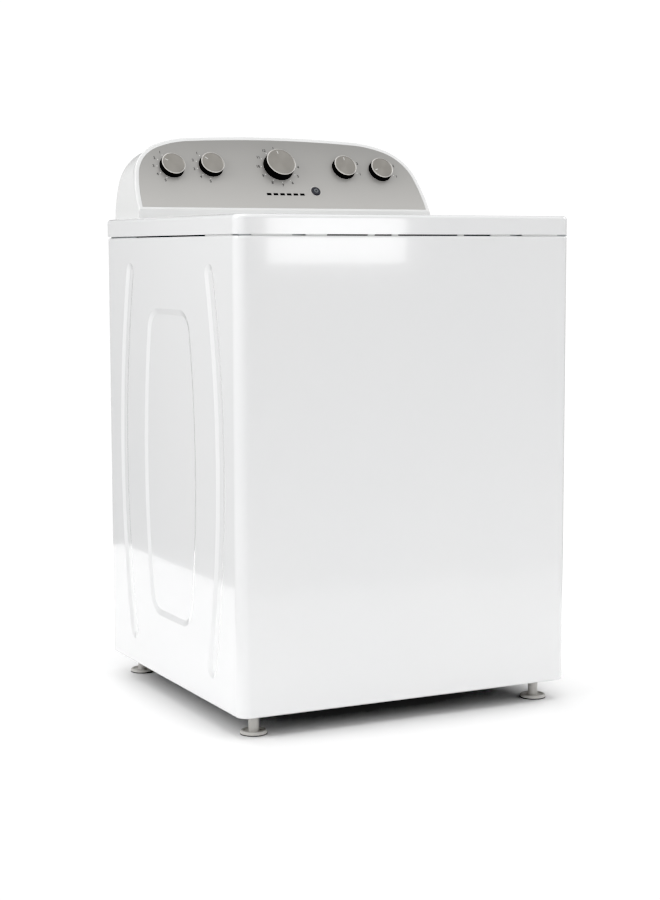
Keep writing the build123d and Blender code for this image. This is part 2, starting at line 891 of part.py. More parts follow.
def start_button():
    back = -fascia_thickness - button_travel
    button = turned([
        (0, back - button_flange),
        (button_radius + button_flange, back - button_flange),
        (button_radius + button_flange, -fascia_thickness),
        (button_radius, -fascia_thickness),
        (button_radius, button_lift - cap_edge),
        (button_radius - cap_edge, button_lift),
        (0, button_lift),
    ])
    return on_fascia(button_x, button_rise) * button


def inlet_valve():
    ports = [port_x - port_pitch / 2, port_x + port_pitch / 2]
    height = top_face + port_height
    port_end = half_depth - sheet
    body_rear = port_end - port_length
    body = block(
        (ports[0] - port_radius, ports[1] + port_radius),
        (body_rear - valve_depth, body_rear),
        (top_face, height + port_radius),
    )
    body = fillet(body.edges().filter_by(Axis.Z), valve_corner)
    for x in ports:
        body += along_y(drum(port_radius, 0, port_length), x, body_rear, height)
        body -= along_y(drum(port_bore, 0, port_length + sheet), x, body_rear, height)
        coil = drum(coil_radius, 0, coil_length)
        body += along_y(coil, x, body_rear - valve_depth - coil_length, height - coil_drop)
    return body


def cord_gland():
    gland = ring(gland_radius, gland_bore, -sheet, gland_flange)
    gland += ring(gland_radius + gland_flange, gland_bore, 0, gland_flange - sheet)
    return along_y(gland, gland_x, rear_cover_y, top_face + gland_height)


# Suspension

def suspension_rods():
    rod = drum(rod_radius, rod_low, rod_top)
    ball = Pos(0, 0, rod_top) * Sphere(ball_radius)
    rod += ball & drum(2 * ball_radius, rod_top, rod_top + 2 * ball_radius)
    rod += drum(seat_radius, rod_low, rod_low + seat_thickness)
    return [Pos(x * rod_x, y * rod_y) * rod for x, y in corner_signs]


def suspension_cups():
    cup = drum(cup_radius, ear_under - cup_depth, ear_under)
    cup -= drum(cup_radius - cup_wall, ear_under - cup_depth, ear_under - cup_wall)
    cup += drum(cup_neck_radius, ear_under, ear_under + ear_thickness)
    cup -= drum(rod_radius + rod_play, rod_low, rod_top)
    return [Pos(x * rod_x, y * rod_y) * cup for x, y in corner_signs]


def helix_point(turn, low, pitch):
    angle = radians(360 * turn)
    return Vector(spring_radius * cos(angle), spring_radius * sin(angle), low + pitch * turn)


def helix_tangent(turn, pitch):
    angle = radians(360 * turn)
    around = 2 * pi * spring_radius
    return Vector(-around * sin(angle), around * cos(angle), pitch).normalized()


def helix_biarc(start, start_tangent, end, end_tangent):
    # Two tangent arcs that join two points of the coil with its slope at both.
    chord = end - start
    tangents = start_tangent + end_tangent
    bend = 2 * (1 - start_tangent.dot(end_tangent))
    along = chord.dot(tangents)
    reach = (sqrt(along * along + bend * chord.dot(chord)) - along) / bend
    first_control = start + start_tangent * reach
    second_control = end - end_tangent * reach
    joint = (first_control + second_control) * 0.5
    slope = (second_control - first_control).normalized()
    return [
        Edge.make_tangent_arc(start, start_tangent, joint),
        Edge.make_tangent_arc(joint, slope, end),
    ]


def suspension_springs():
    low = spring_low + spring_wire_radius + spring_play
    high = spring_high - spring_wire_radius - spring_play
    pitch = (high - low) / spring_turns
    print("spring gap between turns", round(pitch - 2 * spring_wire_radius, 2), "mm")
    arcs = []
    for step in range(2 * spring_turns):
        here = step / 2
        arcs += helix_biarc(
            helix_point(here, low, pitch),
            helix_tangent(here, pitch),
            helix_point(here + 0.5, low, pitch),
            helix_tangent(here + 0.5, pitch),
        )
    path = Wire(arcs)
    section = Plane(origin=path @ 0, z_dir=path % 0) * Circle(spring_wire_radius)
    spring = sweep(section, path)
    return [Pos(x * rod_x, y * rod_y) * spring for x, y in corner_signs]


# Tub

def outer_tub():
    tub = drum(tub_radius, tub_floor, tub_rim)
    tub = fillet(tub.edges().group_by(Axis.Z)[0], tub_corner)
    tub += drum(tub_radius + tub_flange, tub_rim - tub_wall, tub_rim)
    tub += drum(tub_boss_radius, boss_under, tub_floor + tub_wall)
    rib_end = tub_radius - tub_rib_inset
    rib = block((0, rib_end), (-tub_rib_thickness / 2, tub_rib_thickness / 2), (boss_under, tub_floor))
    for index in range(tub_rib_count):
        tub += Rot(0, 0, 360 * (index + 0.5) / tub_rib_count) * rib
    tub += Pos(pump_x, pump_y) * drum(sump_radius, boss_under, tub_floor + tub_wall)
    for x, y in corner_signs:
        boss = Pos(x * rod_x, y * rod_y) * Circle(ear_boss_radius)
        reach = tub_radius / sqrt(rod_x**2 + rod_y**2)
        root = Pos(x * rod_x * reach, y * rod_y * reach) * Circle(ear_root_radius)
        arm = make_hull([*boss.edges(), *root.edges()])
        tub += Pos(0, 0, ear_under) * extrude(arm, ear_thickness)
        tub -= Pos(x * rod_x, y * rod_y) * drum(ear_hole_radius, ear_under - sheet, tub_rim)
    inner = drum(tub_radius - tub_wall, tub_floor + tub_wall, tub_rim + tub_wall)
    tub -= fillet(inner.edges().group_by(Axis.Z)[0], tub_corner - tub_wall)
    tub -= drum(tub_hub_bore, boss_under - sheet, tub_rim)
    return tub - Pos(pump_x, pump_y) * drum(sump_bore, boss_under - sheet, tub_rim)


def tub_ring():
    inner = tub_radius - tub_ring_width
    outer = tub_radius + tub_flange
    top = tub_rim + tub_ring_height
    return turned([
        (outer, tub_rim),
        (outer, tub_rim + tub_ring_wall),
        (inner + tub_ring_height, top),
        (inner, top),
        (inner, tub_rim),
        (inner + tub_ring_wall, tub_rim),
        (inner + tub_ring_wall, top - tub_ring_wall),
        (inner + tub_ring_height - tub_ring_wall, top - tub_ring_wall),
        (tub_radius - tub_wall, tub_rim),
    ])


def tub_seal():
    bore = spin_tube_radius + running_play
    return turned([
        (bore, tub_floor),
        (tub_hub_bore, tub_floor),
        (tub_hub_bore, tub_floor + seal_flange),
        (bore + seal_lip, basket_low - seal_gap),
        (bore, basket_low - seal_gap),
    ])


def spin_bearings():
    bore = spin_tube_radius + running_play
    lower = plate_under - bearing_span - bearing_height
    return [
        ring(bearing_radius, bore, low, low + bearing_height)
        for low in (lower, boss_under - bearing_height)
    ]


def gearcase():
    case = turned([
        (0, gearcase_under),
        (gearcase_foot_radius, gearcase_under),
        (gearcase_radius, gearcase_under + gearcase_shoulder),
        (gearcase_radius, plate_under),
        (0, plate_under),
    ])
    rib = block(
        (0, gearcase_radius + gearcase_rib_reach),
        (-gearcase_rib_thickness / 2, gearcase_rib_thickness / 2),
        (gearcase_under + gearcase_shoulder, plate_under),
    )
    for index in range(gearcase_rib_count):
        case += Rot(0, 0, 360 * index / gearcase_rib_count) * rib
    hub = Circle(tub_boss_radius)
    motor_pad = Pos(motor_x, motor_y) * Circle(motor_plate_radius)
    plate = make_hull([*hub.edges(), *motor_pad.edges()])
    case += Pos(0, 0, plate_under) * extrude(plate, plate_thickness)
    case -= drum(bearing_radius, spin_tube_low, boss_under)
    return case - drum(pulley_shaft_radius + running_play, gearcase_under, spin_tube_low)


def drive_motor():
    motor = drum(motor_radius, motor_low + motor_bell, plate_under - motor_bell)
    for low, high in ((motor_low, motor_low + motor_bell), (plate_under - motor_bell, plate_under)):
        motor += drum(motor_radius - motor_bell, low, high)
    motor = chamfer(motor.edges().filter_by(GeomType.CIRCLE).group_by(SortBy.RADIUS)[-1], motor_edge)
    motor -= drum(motor_shaft_radius + running_play, motor_low, motor_low + motor_shaft_reach + sheet)
    return Pos(motor_x, motor_y) * motor


def grooved_wheel(radius):
    belt_low = pulley_height / 2 - belt_height / 2 - belt_play
    return turned([
        (0, 0),
        (radius, 0),
        (radius, belt_low - pulley_groove / 2),
        (radius - pulley_groove, belt_low),
        (radius - pulley_groove, pulley_height - belt_low),
        (radius, pulley_height - belt_low + pulley_groove / 2),
        (radius, pulley_height),
        (0, pulley_height),
    ])


def drive_pulley():
    wheel = grooved_wheel(pulley_radius)
    dish = (pulley_height - pulley_web) / 2
    rim_inner = pulley_radius - pulley_groove - pulley_rim
    for low, high in ((0, dish), (pulley_height - dish, pulley_height)):
        wheel -= ring(rim_inner, pulley_hub_radius, low, high)
    window = Pos((rim_inner + pulley_hub_radius) / 2, 0) * drum(pulley_window_radius, 0, pulley_height)
    for index in range(pulley_windows):
        wheel -= Rot(0, 0, 360 * index / pulley_windows) * window
    wheel += drum(pulley_shaft_radius, 0, pulley_height + pulley_gap + pulley_shaft_reach)
    return Pos(0, 0, pulley_low) * wheel


def motor_pulley():
    wheel = grooved_wheel(motor_pulley_radius)
    shaft_top = motor_low + motor_shaft_reach - pulley_low
    wheel += drum(motor_shaft_radius, 0, shaft_top)
    return Pos(motor_x, motor_y, pulley_low) * wheel


def drive_belt():
    seat = belt_play - pulley_groove
    loops = []
    for extra in (seat, seat + belt_thickness):
        wheel = Circle(pulley_radius + extra)
        pinion = Pos(motor_x, motor_y) * Circle(motor_pulley_radius + extra)
        loops.append(make_hull([*wheel.edges(), *pinion.edges()]))
    belt = extrude(loops[1] - loops[0], belt_height)
    return Pos(0, 0, pulley_low + (pulley_height - belt_height) / 2) * belt


def drain_pump():
    neck_low = boss_under - pump_neck_length
    volute_low = neck_low - pump_volute_height
    pump = drum(pump_neck_radius, neck_low, boss_under)
    volute = drum(pump_volute_radius, volute_low, neck_low)
    pump += fillet(volute.edges(), pump_volute_edge)
    pump += drum(pump_motor_radius, volute_low - pump_motor_height, volute_low)
    spout_z = (volute_low + neck_low) / 2
    spout_x = pump_volute_radius - pump_spout_radius
    pump += along_y(drum(pump_spout_radius, 0, pump_spout_length), -spout_x, 0, spout_z)
    bore_start = pump_spout_length - pump_spout_depth
    pump -= along_y(drum(pump_spout_bore, bore_start, pump_spout_length), -spout_x, 0, spout_z)
    pump -= drum(sump_bore, neck_low, boss_under)
    return Pos(pump_x, pump_y) * pump


def shift_actuator():
    reach = gearcase_radius + actuator_depth
    high = plate_under - plate_thickness
    box = block((0, reach), (-actuator_width / 2, actuator_width / 2), (high - actuator_height, high))
    box = fillet(box.edges().filter_by(Axis.Z), actuator_corner)
    box -= drum(gearcase_radius, gearcase_under, high + sheet)
    between_ribs = 180 + 180 / gearcase_rib_count
    return Rot(0, 0, between_ribs) * box


# Basket

def basket_wall():
    return ring(basket_radius, basket_radius - basket_sheet, basket_low, basket_high)


def basket_base():
    outer = basket_radius - basket_sheet
    return turned([
        (spin_tube_radius, basket_low),
        (base_cone_radius, basket_low),
        (outer, basket_low),
        (outer, basket_floor + base_rim),
        (outer - base_wall, basket_floor + base_rim),
        (outer - base_wall, basket_floor),
        (base_cone_radius, basket_floor),
        (base_hub_radius, hub_top),
        (spin_tube_radius, hub_top),
    ])


def balance_ring():
    outer = basket_radius
    return fillet(
        ring(outer, outer - balance_ring_width, basket_high, balance_ring_top).edges().group_by(Axis.Z)[-1],
        balance_ring_edge,
    )


def spin_tube():
    return ring(spin_tube_radius, shaft_radius + running_play, spin_tube_low, spin_tube_top)


def hub_nut():
    nut = ring(hub_nut_radius, spin_tube_radius, hub_top, spin_tube_top)
    notch = Pos(hub_nut_radius, 0, spin_tube_top) * Box(hub_nut_height, hub_nut_height, hub_nut_height)
    for index in range(hub_nut_notches):
        nut -= Rot(0, 0, 360 * index / hub_nut_notches) * notch
    return nut


# Agitator

def skirt_profile(inset):
    rim = skirt_low + skirt_rim - inset
    flank = ThreePointArc(
        (skirt_radius - inset, rim),
        (column_radius + skirt_bend_out - inset, rim + skirt_bend_rise),
        (column_radius - inset, rim + skirt_rise),
    )
    outline = [
        Polyline((0, skirt_low), (skirt_radius - inset, skirt_low), (skirt_radius - inset, rim)),
        flank,
        Polyline(
            (column_radius - inset, rim + skirt_rise),
            (column_radius - inset, column_top - inset),
            (0, column_top - inset),
            (0, skirt_low),
        ),
    ]
    return revolve(Plane.XZ * make_face(outline), Axis.Z)


def agitator_base():
    body = skirt_profile(0)
    vane_edge = Spline(
        (vane_shoulder, column_top - vane_drop),
        (vane_shoulder + agitator_wall, skirt_low + vane_waist_rise),
        (vane_reach, skirt_low + skirt_rim + agitator_wall),
    )
    vane_outline = [
        vane_edge,
        Polyline(
            vane_edge @ 1,
            (vane_reach, skirt_low + agitator_wall),
            (0, skirt_low + agitator_wall),
            (0, column_top - vane_drop),
            vane_edge @ 0,
        ),
    ]
    vane = extrude(Plane.XZ * make_face(vane_outline), vane_thickness / 2, both=True)
    for index in range(vane_count):
        body += Rot(0, 0, 360 * (index + 0.5) / vane_count) * vane
    body -= skirt_profile(agitator_wall)
    socket_top = column_top - agitator_wall
    body += drum(shaft_radius + socket_wall, socket_top - socket_length, socket_top)
    return body - drum(shaft_radius, skirt_low, column_top + agitator_wall)


def auger_sector_face(inner, outer):
    sweep_end = (cos(radians(auger_sector_angle)), sin(radians(auger_sector_angle)))
    return make_face([
        Line((inner, 0), (outer, 0)),
        CenterArc((0, 0), outer, 0, auger_sector_angle),
        Line((inner * sweep_end[0], inner * sweep_end[1]), (outer * sweep_end[0], outer * sweep_end[1])),
        CenterArc((0, 0), inner, 0, auger_sector_angle),
    ])


def agitator_auger():
    core_radius = column_radius - agitator_wall
    start = column_top + auger_margin
    rise = auger_height - 2 * auger_margin
    section = auger_sector_face(core_radius - agitator_wall, auger_radius + auger_margin)
    fin = Solid.extrude_linear_with_rotation(section.face(), (0, 0, 0), (0, 0, rise), auger_twist_angle)
    envelope = turned([
        (0, 0),
        (auger_radius, 0),
        (auger_radius, auger_straight),
        (auger_tip_radius, rise),
        (0, rise),
    ])
    fin = Pos(0, 0, start) * (fin & envelope)
    body = drum(core_radius, column_top, auger_top)
    body += [Rot(0, 0, 360 * index / auger_starts) * fin for index in range(auger_starts)]
    body -= drum(core_radius - auger_wall, column_top + agitator_wall, auger_top)
    return body - drum(shaft_radius, column_top - sheet, auger_top)


def agitator_cap():
    cap = drum(column_radius - agitator_wall, auger_top, auger_top + cap_dome)
    return fillet(cap.edges().group_by(Axis.Z)[-1], cap_round)


def drive_shaft():
    return drum(shaft_radius, spin_tube_low + bearing_height, auger_top - auger_margin)


# Every node with the solids it holds

def knob_nodes():
    nodes = {}
    places = {f"{name}_knob": (place, knob_radius, knob_height) for name, place in small_knobs.items()}
    places["cycle_dial"] = ((0, dial_rise), dial_radius, dial_height)
    for name, ((x, rise), radius, height) in places.items():
        skirt, cap = knob_solids(radius, height)
        nodes[name] = on_fascia(x, rise) * skirt
        nodes[f"{name}_cap"] = on_fascia(x, rise) * cap
    return nodes


def nodes():
    makers = [
        cabinet_shell, rear_panel, base_rails, foot_nuts, corner_braces, top_panel, lid_skin, lid_liner,
        lid_strike, hinge_pins, hinge_bushes, lid_bumpers, lid_lock, bleach_dispenser, console_housing,
        console_rear_cover, fascia, status_lights, rotary_switches, control_board, start_button, inlet_valve,
        cord_gland, suspension_rods, suspension_cups, suspension_springs, outer_tub, tub_ring, tub_seal,
        spin_bearings, gearcase, drive_motor, drive_pulley, motor_pulley, drive_belt, drain_pump,
        shift_actuator, basket_wall, basket_base, balance_ring, spin_tube, hub_nut, agitator_base,
        agitator_auger, agitator_cap, drive_shaft,
    ]
    made = {maker.__name__: maker() for maker in makers}
    made.update(knob_nodes())
    made.update({f"{name}_foot": levelling_foot(x, y) for name, (x, y) in feet.items()})
    return made


def main():
    os.makedirs("parts", exist_ok=True)
    for name, shape in nodes().items():
        whole = Compound(children=shape) if isinstance(shape, list) else shape
        export_step(whole, f"parts/{name}.step")


main()
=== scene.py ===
import json
from math import cos, pi, radians, sin

import bmesh
import bpy
from mathutils import Matrix, Vector


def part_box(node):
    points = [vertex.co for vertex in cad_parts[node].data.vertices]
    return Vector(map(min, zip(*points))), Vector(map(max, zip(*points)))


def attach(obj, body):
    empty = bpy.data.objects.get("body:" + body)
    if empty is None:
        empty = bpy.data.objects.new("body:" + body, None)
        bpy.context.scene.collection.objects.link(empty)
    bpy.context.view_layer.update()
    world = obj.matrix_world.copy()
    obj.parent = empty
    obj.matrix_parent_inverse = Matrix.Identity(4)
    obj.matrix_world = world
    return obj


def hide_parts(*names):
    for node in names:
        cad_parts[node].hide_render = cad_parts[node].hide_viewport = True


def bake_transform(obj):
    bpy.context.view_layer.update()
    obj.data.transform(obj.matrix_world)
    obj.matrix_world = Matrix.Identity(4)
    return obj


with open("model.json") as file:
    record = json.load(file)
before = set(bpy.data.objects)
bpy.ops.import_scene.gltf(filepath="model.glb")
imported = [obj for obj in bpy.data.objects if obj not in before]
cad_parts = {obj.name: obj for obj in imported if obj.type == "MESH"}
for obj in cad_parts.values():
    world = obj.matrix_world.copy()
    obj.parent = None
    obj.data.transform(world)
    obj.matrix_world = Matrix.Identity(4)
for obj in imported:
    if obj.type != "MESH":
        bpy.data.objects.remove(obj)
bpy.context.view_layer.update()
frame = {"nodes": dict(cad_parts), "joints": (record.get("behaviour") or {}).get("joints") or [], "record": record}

# Top-loading washing machine: white enamel cabinet, silver console, five knobs. Metres, floor at z = 0.
# Sizes in a piece's dictionary are millimetres, those of the studio, lamps and camera are metres.
nodes = frame["nodes"]
joints = {joint["name"]: joint for joint in frame["joints"]}
mm = 0.001


def linear(hexColour):
    # sRGB hex to the linear values that shaders take
    channels = [int(hexColour[i:i + 2], 16) / 255 for i in (1, 3, 5)]
    return [c / 12.92 if c <= 0.04045 else ((c + 0.055) / 1.055) ** 2.4 for c in channels] + [1.0]


def addNode(tree, kind, inputs=None, **settings):
    node = tree.nodes.new(kind)
    for key, value in settings.items():
        setattr(node, key, value)
    for socket, value in (inputs or {}).items():
        if isinstance(value, bpy.types.NodeSocket):
            tree.links.new(value, node.inputs[socket])
        else:
            node.inputs[socket].default_value = value
    return node


def perMetre(grainMm):
    # How many grains of this size lie along a metre
    return 1000.0 / grainMm


# What all finishes share. A ring texture at scale 1 repeats every ringUnit metres.
grainLook = {"detail": 3.0, "cloudMm": 120.0, "cloudDetail": 2.0, "roughFrom": (0.3, 0.7),
             "reliefShare": 0.5, "ringUnit": 2 * pi / 20, "ringBend": 1.5, "ringDetail": 2.0,
             "ringDetailScale": 2.0}


def makeFinish(name, look):
    # Grain sets roughness and relief, cloud or grain sets the tone, all on the piece's own coordinates.
    # A colour mix takes its share at socket 0 and its colours at 6 and 7, and gives its result at 2.
    material = bpy.data.materials.new(name)
    material.use_nodes = True
    tree = material.node_tree
    shader = tree.nodes["Principled BSDF"]
    coords = addNode(tree, "ShaderNodeTexCoord")
    centred = addNode(tree, "ShaderNodeMapping", {
        "Vector": coords.outputs["Object"], "Location": look.get("centre", (0, 0, 0)),
        "Rotation": look.get("turn", (0, 0, 0))}, vector_type="TEXTURE")
    place = centred.outputs["Vector"]
    drawn = addNode(tree, "ShaderNodeMapping", {"Vector": place, "Scale": look.get("stretch", (1, 1, 1))})
    pattern = look.get("pattern", "noise")
    if pattern == "cells":                       # crystals, as on hot-dip zinc
        fine = addNode(tree, "ShaderNodeTexVoronoi", {
            "Vector": drawn.outputs["Vector"], "Scale": perMetre(look["grainMm"])})
        grain = addNode(tree, "ShaderNodeRGBToBW", {"Color": fine.outputs["Color"]}).outputs["Val"]
    elif pattern == "rings":                     # turning marks round the piece's own axis
        fine = addNode(tree, "ShaderNodeTexWave", {
            "Vector": drawn.outputs["Vector"], "Scale": perMetre(look["grainMm"]) * grainLook["ringUnit"],
            "Distortion": grainLook["ringBend"], "Detail": grainLook["ringDetail"],
            "Detail Scale": grainLook["ringDetailScale"]}, wave_type="RINGS", rings_direction="Z")
        grain = fine.outputs["Fac"]
    else:
        fine = addNode(tree, "ShaderNodeTexNoise", {
            "Vector": drawn.outputs["Vector"], "Scale": perMetre(look["grainMm"]),
            "Detail": grainLook["detail"]})
        grain = fine.outputs["Fac"]
    cloud = addNode(tree, "ShaderNodeTexNoise", {
        "Vector": place, "Scale": perMetre(look.get("cloudMm", grainLook["cloudMm"])),
        "Detail": grainLook["cloudDetail"]})
    spread = grain if look.get("tonesFromGrain") else cloud.outputs["Fac"]
    tone = addNode(tree, "ShaderNodeMix", {
        0: spread, 6: linear(look["tones"][0]), 7: linear(look["tones"][1])}, data_type="RGBA")
    rough = addNode(tree, "ShaderNodeMapRange", {
        "Value": grain, "From Min": grainLook["roughFrom"][0], "From Max": grainLook["roughFrom"][1],
        "To Min": look["rough"][0], "To Max": look["rough"][1]})
    relief = addNode(tree, "ShaderNodeBump", {
        "Height": grain, "Distance": look["reliefMm"] * mm,
        "Strength": look.get("reliefShare", grainLook["reliefShare"])})
    if "paintedShadeMm" in look:                         # painted shade: tone that changes between two heights
        height = addNode(tree, "ShaderNodeSeparateXYZ", {"Vector": coords.outputs["Object"]})
        share = addNode(tree, "ShaderNodeMapRange", {
            "Value": height.outputs["Z"], "From Min": look["paintedShadeMm"][0] * mm,
            "From Max": look["paintedShadeMm"][1] * mm})
        shade = addNode(tree, "ShaderNodeMix", {
            0: share.outputs["Result"], 6: linear(look["paintedShadeTones"][0]), 7: linear(look["paintedShadeTones"][1])},
            data_type="RGBA")
        tone = addNode(tree, "ShaderNodeMix", {0: 1.0, 6: tone.outputs[2], 7: shade.outputs[2]},
                       data_type="RGBA", blend_type="MULTIPLY")
    tree.links.new(tone.outputs[2], shader.inputs["Base Color"])
    tree.links.new(rough.outputs["Result"], shader.inputs["Roughness"])
    tree.links.new(relief.outputs["Normal"], shader.inputs["Normal"])
    shader.inputs["Metallic"].default_value = look.get("metal", 0.0)
    shader.inputs["Specular IOR Level"].default_value = look.get("gloss", 0.5)
    shader.inputs["Anisotropic"].default_value = look.get("spun", 0.0)
    shader.inputs["Coat Weight"].default_value = look.get("coat", 0.0)
    if "spun" in look:                           # highlights fan out round the piece's own axis
        arm = addNode(tree, "ShaderNodeVectorMath", {0: coords.outputs["Object"], 1: look["centre"]},
                      operation="SUBTRACT")
        circling = addNode(tree, "ShaderNodeVectorMath", {0: look["axis"], 1: arm.outputs["Vector"]},
                           operation="CROSS_PRODUCT")
        swung = addNode(tree, "ShaderNodeVectorTransform", {"Vector": circling.outputs["Vector"]},
                        vector_type="VECTOR", convert_from="OBJECT", convert_to="WORLD")
        tree.links.new(swung.outputs["Vector"], shader.inputs["Tangent"])
    return material


# Each finish: the real material, how its surface was made, and what that gives the eye.
# Flakes, brush marks and tool textures under about half a millimetre are drawn coarser, so that they show.
looks = {
    # Baked white enamel on steel sheet, sprayed: deep gloss with a faint orange peel
    "whiteEnamel": {"tones": ("#EDEEEF", "#F0F0F0"), "grainMm": 5.0, "cloudMm": 400.0,
                    "rough": (0.07, 0.10), "reliefMm": 0.012, "reliefShare": 0.25, "coat": 0.7},
    # White ABS, moulded in a polished tool: gloss a little softer than the enamel
    "whiteMoulding": {"tones": ("#E8E9E9", "#EBEBEA"), "grainMm": 3.0, "rough": (0.16, 0.22),
                      "reliefMm": 0.01, "reliefShare": 0.25},
    # Silver metallic paint on an ABS fascia: satin, with a fine flake, and painted shade that makes it darker
    # towards the top
    "silverFascia": {"tones": ("#BCBBB8", "#C1BFBC"), "grainMm": 0.9, "cloudMm": 200.0,
                     "rough": (0.34, 0.44), "reliefMm": 0.01, "metal": 0.35, "paintedShadeMm": (975.0, 1105.0),
                     "paintedShadeTones": ("#FFFFFF", "#D2D2D2")},
    # Black ABS, satin from a spark-eroded tool: hardly any shine
    "blackMoulding": {"tones": ("#030303", "#060607"), "grainMm": 0.8, "rough": (0.4, 0.5),
                      "reliefMm": 0.02, "gloss": 0.12},
    # Smoked acrylic lens with a satin face: nearly black while unlit
    "smokedLens": {"tones": ("#040405", "#08080A"), "grainMm": 2.0, "rough": (0.3, 0.36), "reliefMm": 0.004,
                   "gloss": 0.05},
    # Charcoal elastomer, moulded: matt and a little lighter than the skirts
    "charcoalKey": {"tones": ("#434346", "#4B4B4E"), "grainMm": 0.7, "rough": (0.5, 0.6), "reliefMm": 0.02,
                    "gloss": 0.15},
    # Light grey nylon, moulded: dull
    "greyNylon": {"tones": ("#C6C4C0", "#D0CECA"), "grainMm": 1.2, "rough": (0.38, 0.5), "reliefMm": 0.02},
    # Hot-dip zinc on steel sheet: pale crystals that catch the light one by one
    "zincSheet": {"tones": ("#A0A4A7", "#B6BABC"), "grainMm": 9.0, "rough": (0.32, 0.46), "reliefMm": 0.01,
                  "metal": 0.85, "pattern": "cells", "tonesFromGrain": True},
    # Electroplated zinc on drawn rod: even, slightly blue, with marks along the rod
    "zincRod": {"tones": ("#A5ABB0", "#B7BBBE"), "grainMm": 0.8, "rough": (0.25, 0.36), "reliefMm": 0.006,
                "metal": 0.95, "stretch": (1, 1, 0.05)},
    # Oil-blackened spring wire, drawn: dark with a soft shine
    "springSteel": {"tones": ("#26282B", "#34373A"), "grainMm": 1.0, "rough": (0.28, 0.4), "reliefMm": 0.01,
                    "metal": 0.9},
    # Ground steel: bright, with marks round the axis
    "groundSteel": {"tones": ("#B4B5B6", "#C6C7C7"), "grainMm": 0.7, "rough": (0.16, 0.28),
                    "reliefMm": 0.004, "metal": 1.0, "stretch": (0.1, 0.1, 1)},
    # Stainless sheet, brushed round the drum: pale, with a broad soft shine
    "stainlessSheet": {"tones": ("#C9C9C7", "#D6D6D4"), "grainMm": 0.9, "rough": (0.32, 0.44),
                       "reliefMm": 0.006, "metal": 0.6, "stretch": (0.04, 0.04, 1)},
    # Filled polypropylene, moulded: waxy, a little mottled
    "tubMoulding": {"tones": ("#C3C8CC", "#CFD3D6"), "grainMm": 2.5, "rough": (0.38, 0.5), "reliefMm": 0.03},
    # Polypropylene from a polished tool: pale blue grey with some gloss
    "agitatorMoulding": {"tones": ("#C9CFD8", "#D6DAE1"), "grainMm": 3.0, "rough": (0.22, 0.3),
                         "reliefMm": 0.02},
    # Mid grey glass-filled nylon, moulded: dull with a fine fleck
    "greyMoulding": {"tones": ("#606468", "#74787B"), "grainMm": 1.0, "rough": (0.42, 0.56),
                     "reliefMm": 0.03},
    # Black rubber, moulded: matt
    "blackRubber": {"tones": ("#101010", "#1B1B1B"), "grainMm": 1.2, "rough": (0.6, 0.78), "reliefMm": 0.05},
    # Grey rubber, moulded: matt
    "greyRubber": {"tones": ("#8A8B8C", "#999A9A"), "grainMm": 1.2, "rough": (0.58, 0.72), "reliefMm": 0.05},
    # Die-cast aluminium, as cast: grainy skin
    "castAluminium": {"tones": ("#A3A6A8", "#B6B8B9"), "grainMm": 1.6, "rough": (0.38, 0.54),
                      "reliefMm": 0.06, "metal": 0.9},
    # Dark grey paint, baked on a motor frame: semi-gloss
    "motorPaint": {"tones": ("#2B2D30", "#393B3E"), "grainMm": 1.8, "rough": (0.32, 0.44), "reliefMm": 0.03},
    # Green lacquer over etched copper: patches of two greens
    "boardLacquer": {"tones": ("#0E4A29", "#1B6A3B"), "grainMm": 6.0, "rough": (0.24, 0.36),
                     "reliefMm": 0.05, "pattern": "cells", "tonesFromGrain": True},
    # Screen-printed inks: flat and matt
    "darkInk": {"tones": ("#161618", "#1E1E20"), "grainMm": 0.6, "rough": (0.5, 0.6), "reliefMm": 0.005},
    "whiteInk": {"tones": ("#ECECEA", "#F4F4F2"), "grainMm": 0.6, "rough": (0.45, 0.55), "reliefMm": 0.005},
    # Silver paint on moulded rims, painted lighter than the caps as a painted highlight that shows from every side
    "highlightRing": {"tones": ("#D4D2CE", "#DEDCD8"), "grainMm": 0.8, "rough": (0.26, 0.34),
                   "reliefMm": 0.004, "metal": 0.35},
    # Painted shade in the seam: a black strip that takes in nearly all light
    "seamShadeBlack": {"tones": ("#0C0C0D", "#161617"), "grainMm": 1.4, "rough": (0.8, 0.92), "reliefMm": 0.1,
                  "gloss": 0.15},
    # Black satin paint on the base rails: painted shade that darkens the gap under the cabinet
    "underShadeBlack": {"tones": ("#0E0F10", "#18191A"), "grainMm": 1.6, "rough": (0.36, 0.48),
                     "reliefMm": 0.02, "gloss": 0.3},
    # Painted shade for the inside of a punched hole: matt black
    "holeShade": {"tones": ("#0A0B0B", "#121313"), "grainMm": 1.0, "rough": (0.8, 0.9), "reliefMm": 0.01},
}
finishes = {name: makeFinish(name, look) for name, look in looks.items()}
print("finishes", len(finishes))

# Finish for each material slot but the knob caps', and for two pieces that differ from their slot
slotFinish = {
    "white_enamel": "whiteEnamel", "zinc_sheet": "zincSheet", "zinc_rod": "zincRod",
    "spring_steel": "springSteel", "bright_steel": "groundSteel", "stainless_sheet": "stainlessSheet",
    "white_plastic": "whiteMoulding", "pale_plastic": "tubMoulding", "agitator_plastic": "agitatorMoulding",
    "grey_plastic": "greyMoulding", "dark_plastic": "blackMoulding", "smoked_window": "smokedLens",
    "silver_fascia": "silverFascia", "foot_plastic": "greyNylon", "black_rubber": "blackRubber",
    "grey_rubber": "greyRubber", "cast_aluminium": "castAluminium", "motor_finish": "motorPaint",
    "board_green": "boardLacquer",
}
# The base rails take black as painted shade under the cabinet, in place of their zinc slot
ownFinish = {"start_button": "charcoalKey", "base_rails": "underShadeBlack"}
for subpart in frame["record"]["subparts"]:
    if subpart["material_slot"] in slotFinish:
        node = nodes[subpart["node"]]
        node.data.materials.clear()
        node.data.materials.append(finishes[slotFinish[subpart["material_slot"]]])
for nodeName, finish in ownFinish.items():
    nodes[nodeName].data.materials[0] = finishes[finish]
print("solids dressed", len(nodes))


